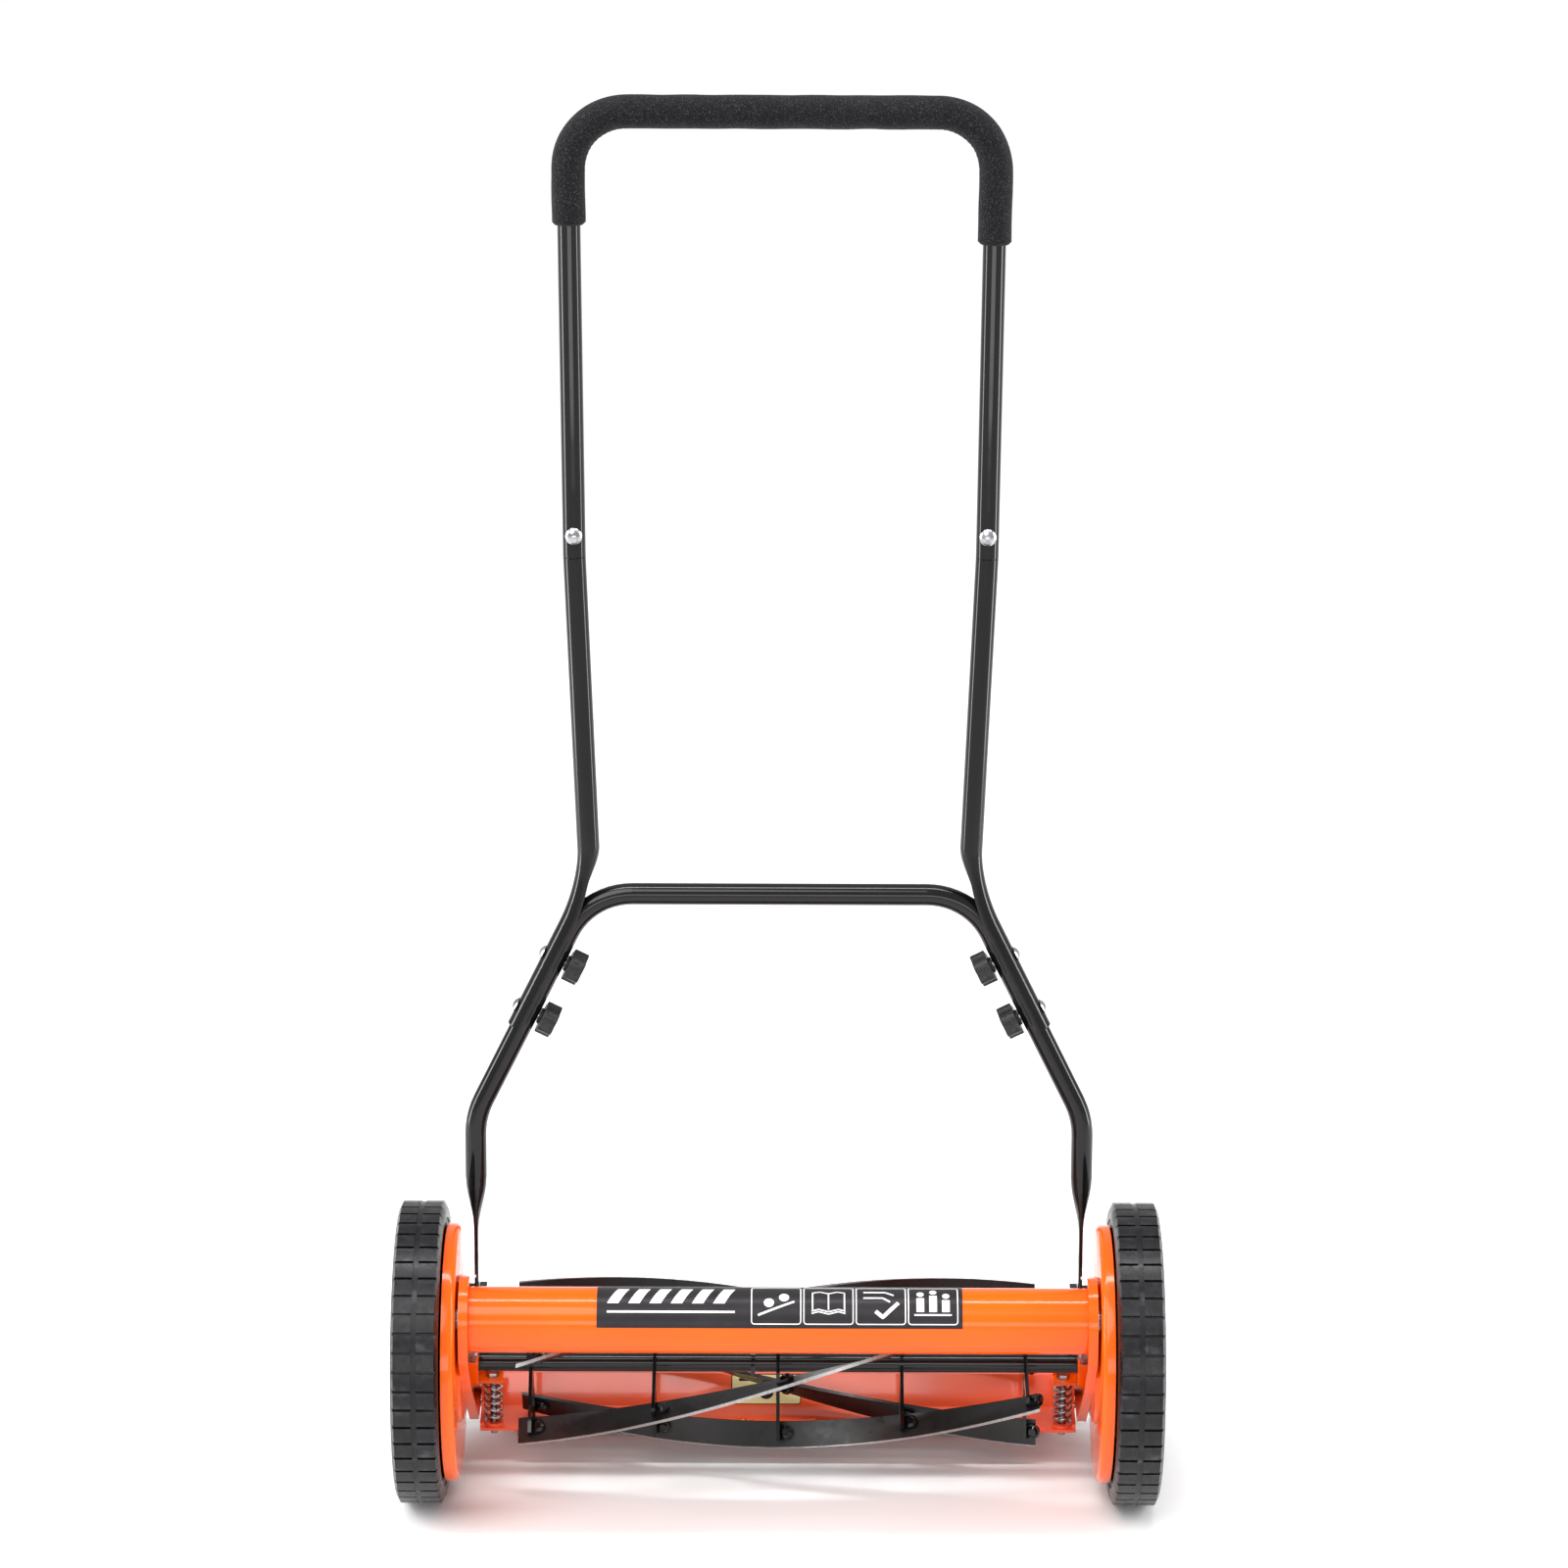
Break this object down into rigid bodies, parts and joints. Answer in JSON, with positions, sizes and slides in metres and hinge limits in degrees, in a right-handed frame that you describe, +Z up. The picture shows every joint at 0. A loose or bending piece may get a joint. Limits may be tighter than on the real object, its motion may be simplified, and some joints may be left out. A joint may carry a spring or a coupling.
{
  "type": "reel mower",
  "caption": "Push reel mower: geared wheels spin a helical blade reel against a sprung bed knife, with a rear height roller and a folding loop handle.",
  "frame": {"origin": "on the ground, under the middle of the whole mower's box", "axes": "+X to the right seen from the front, +Y from the front to the user, +Z up"},
  "size_m": [0.638, 0.322, 1.1651],
  "materials": {
    "orange_paint": "glossy powder coat",
    "orange_plastic": "satin moulded plastic",
    "black_rubber": "matt moulded rubber",
    "black_plastic": "fine grained moulded plastic",
    "black_paint": "glossy black paint",
    "blade_steel": "dark coated steel with bright ground edges",
    "zinc_steel": "bright zinc plate",
    "sintered_steel": "greased sintered steel",
    "black_foam": "closed cell foam"
  },
  "bodies": {
    "chassis": {"front_tube": "orange_paint", "tie_rod": "zinc_steel", "side_plate_left": "orange_paint", "side_plate_right": "orange_paint", "dust_cover_left": "orange_paint", "dust_cover_right": "orange_paint", "axle_left": "zinc_steel", "axle_right": "zinc_steel", "bearing_housing_left": "orange_paint", "bearing_housing_right": "orange_paint", "ball_bearing_left": "zinc_steel", "ball_bearing_right": "zinc_steel", "spring_left": "zinc_steel", "spring_right": "zinc_steel", "axle_nuts": "zinc_steel", "adjuster_bolts": "zinc_steel", "handle_pivot_bolts": "black_paint", "bar_pivot_bolts": "zinc_steel", "roller_clamp_bolts": "zinc_steel"},
    "wheel_left": {"tyre_left": "black_rubber", "wheel_left": "black_plastic", "hub_cap_left": "orange_plastic"},
    "wheel_right": {"tyre_right": "black_rubber", "wheel_right": "black_plastic", "hub_cap_right": "orange_plastic"},
    "pinion_left": {"pinion_left": "sintered_steel"},
    "pinion_right": {"pinion_right": "sintered_steel"},
    "reel": {"reel_shaft": "black_paint", "reel_blade_1": "blade_steel", "reel_blade_2": "blade_steel", "reel_blade_3": "blade_steel", "reel_blade_4": "blade_steel", "reel_blade_5": "blade_steel", "reel_spider_1": "black_paint", "reel_spider_2": "black_paint", "reel_spider_3": "black_paint", "reel_spider_4": "black_paint", "reel_spider_5": "black_paint", "shaft_collar": "black_paint", "blade_rivets": "black_paint", "pawls": "zinc_steel", "circlips": "zinc_steel"},
    "cutter_bar": {"cutter_bar": "orange_paint", "bed_knife": "blade_steel", "bed_knife_screws": "zinc_steel"},
    "roller_frame": {"roller_bracket_left": "black_paint", "roller_bracket_right": "black_paint", "roller_axle": "zinc_steel"},
    "roller": {"rear_roller": "black_plastic"},
    "handle": {"lower_bracket": "black_paint", "upper_handle": "black_paint", "foam_grip": "black_foam", "mid_tube_left": "black_paint", "mid_tube_right": "black_paint", "handle_clamp_bolts": "zinc_steel", "splice_bolts": "zinc_steel"},
    "knob_upper_left": {"knob_upper_left": "black_plastic"},
    "knob_upper_right": {"knob_upper_right": "black_plastic"},
    "knob_lower_left": {"knob_lower_left": "black_plastic"},
    "knob_lower_right": {"knob_lower_right": "black_plastic"}
  },
  "joints": [
    {"name": "wheel_left_spin", "type": "hinge", "parent": "chassis", "child": "wheel_left", "pos_m": [0, -0.03404, 0.127], "axis": [1, 0, 0], "continuous": true},
    {"name": "wheel_right_spin", "type": "hinge", "parent": "chassis", "child": "wheel_right", "pos_m": [0, -0.03404, 0.127], "axis": [1, 0, 0], "continuous": true},
    {"name": "reel_spin", "type": "hinge", "parent": "chassis", "child": "reel", "pos_m": [0, 0.00096, 0.10033], "axis": [1, 0, 0], "continuous": true},
    {"name": "pinion_left_spin", "type": "hinge", "parent": "chassis", "child": "pinion_left", "pos_m": [0, 0.00096, 0.10033], "axis": [1, 0, 0], "continuous": true},
    {"name": "pinion_right_spin", "type": "hinge", "parent": "chassis", "child": "pinion_right", "pos_m": [0, 0.00096, 0.10033], "axis": [1, 0, 0], "continuous": true},
    {"name": "cutter_bar_pivot", "type": "hinge", "parent": "chassis", "child": "cutter_bar", "pos_m": [0, 0.06896, 0.045], "axis": [1, 0, 0], "range_deg": [0, 1.5], "deforming": ["spring_left", "spring_right"]},
    {"name": "roller_height", "type": "slide", "parent": "chassis", "child": "roller_frame", "axis": [0, 0, 1], "range_m": [-0.02, 0.012]},
    {"name": "roller_spin", "type": "hinge", "parent": "roller_frame", "child": "roller", "pos_m": [0, 0.08696, 0.019], "axis": [1, 0, 0], "continuous": true},
    {"name": "handle_swing", "type": "hinge", "parent": "chassis", "child": "handle", "pos_m": [0, 0.03796, 0.147], "axis": [1, 0, 0], "range_deg": [-70, 8]},
    {"name": "knob_upper_left_turn", "type": "hinge", "parent": "handle", "child": "knob_upper_left", "pos_m": [-0.18854, 0.07014, 0.44326], "axis": [0.8961, -0.0479, -0.4413], "range_deg": [0, 720]},
    {"name": "knob_upper_right_turn", "type": "hinge", "parent": "handle", "child": "knob_upper_right", "pos_m": [0.18854, 0.07014, 0.44326], "axis": [-0.8961, -0.0479, -0.4413], "range_deg": [0, 720]},
    {"name": "knob_lower_left_turn", "type": "hinge", "parent": "handle", "child": "knob_lower_left", "pos_m": [-0.21133, 0.06518, 0.39753], "axis": [0.8961, -0.0479, -0.4413], "range_deg": [0, 720]},
    {"name": "knob_lower_right_turn", "type": "hinge", "parent": "handle", "child": "knob_lower_right", "pos_m": [0.21133, 0.06518, 0.39753], "axis": [-0.8961, -0.0479, -0.4413], "range_deg": [0, 720]}
  ],
  "couplings": [
    {"joint": "reel_spin", "follows": "wheel_left_spin", "ratio": 3.75},
    {"joint": "pinion_left_spin", "follows": "wheel_left_spin", "ratio": 3.75},
    {"joint": "pinion_right_spin", "follows": "wheel_right_spin", "ratio": 3.75}
  ]
}
